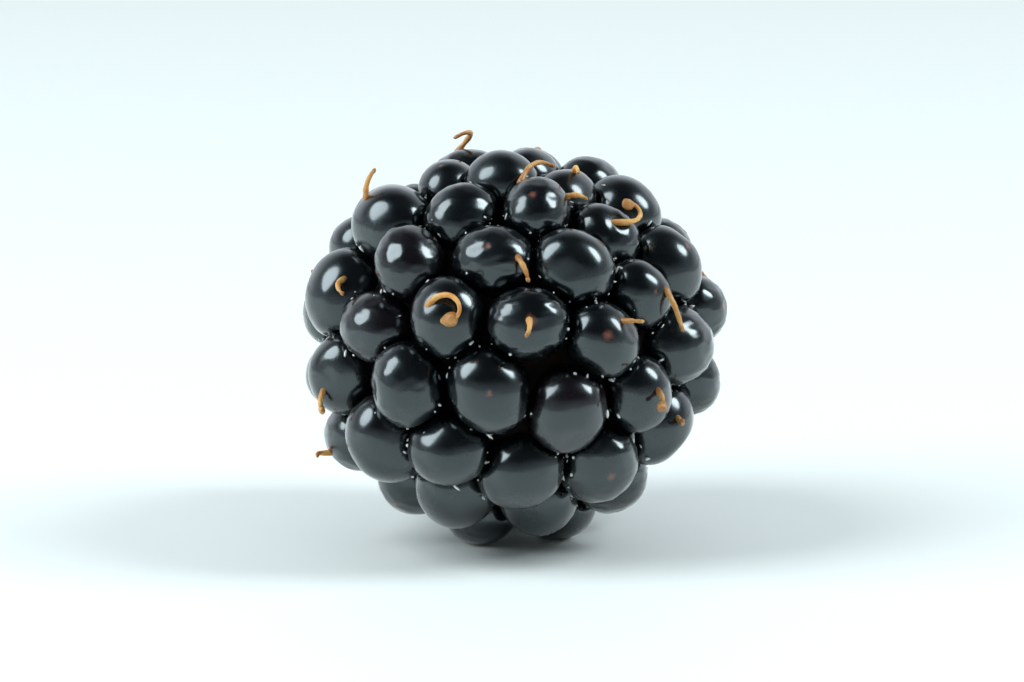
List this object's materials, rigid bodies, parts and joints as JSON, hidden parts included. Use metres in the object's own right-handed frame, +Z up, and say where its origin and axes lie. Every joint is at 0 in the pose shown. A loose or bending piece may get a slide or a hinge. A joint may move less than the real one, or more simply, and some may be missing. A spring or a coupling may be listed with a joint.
{
  "type": "bramble berry",
  "caption": "Ripe black bramble berry, as picked, with glossy pressed drupelets, an open pit at the stem end, and amber dried styles and stamens.",
  "frame": {"origin": "on the table, under the middle of the berry's box", "axes": "+X to the right of the berry's front, +Y from the front (tip side) to the back (stem end), +Z up"},
  "size_m": [0.0227, 0.025, 0.0214],
  "materials": {
    "skin": "wet-looking near-black skin",
    "dried_style": "dry amber fibre"
  },
  "bodies": {
    "root": {"berry": "skin", "dried_stamen_01": "dried_style", "dried_stamen_02": "dried_style", "dried_stamen_03": "dried_style", "dried_stamen_04": "dried_style", "dried_stamen_05": "dried_style", "dried_stamen_06": "dried_style", "dried_stamen_07": "dried_style", "dried_stamen_08": "dried_style", "dried_stamen_09": "dried_style", "dried_stamen_10": "dried_style", "dried_style_01": "dried_style", "dried_style_02": "dried_style", "dried_style_03": "dried_style", "dried_style_04": "dried_style", "dried_style_05": "dried_style", "dried_style_06": "dried_style", "dried_style_07": "dried_style", "dried_style_08": "dried_style", "dried_style_09": "dried_style", "dried_style_10": "dried_style", "dried_style_11": "dried_style", "dried_style_12": "dried_style", "dried_style_13": "dried_style", "dried_style_14": "dried_style", "dried_style_15": "dried_style", "dried_style_16": "dried_style", "dried_style_17": "dried_style", "dried_style_18": "dried_style", "dried_style_19": "dried_style", "dried_style_20": "dried_style", "dried_style_21": "dried_style", "dried_style_22": "dried_style", "dried_style_23": "dried_style", "dried_style_24": "dried_style", "dried_style_25": "dried_style", "dried_style_26": "dried_style"}
  },
  "joints": []
}
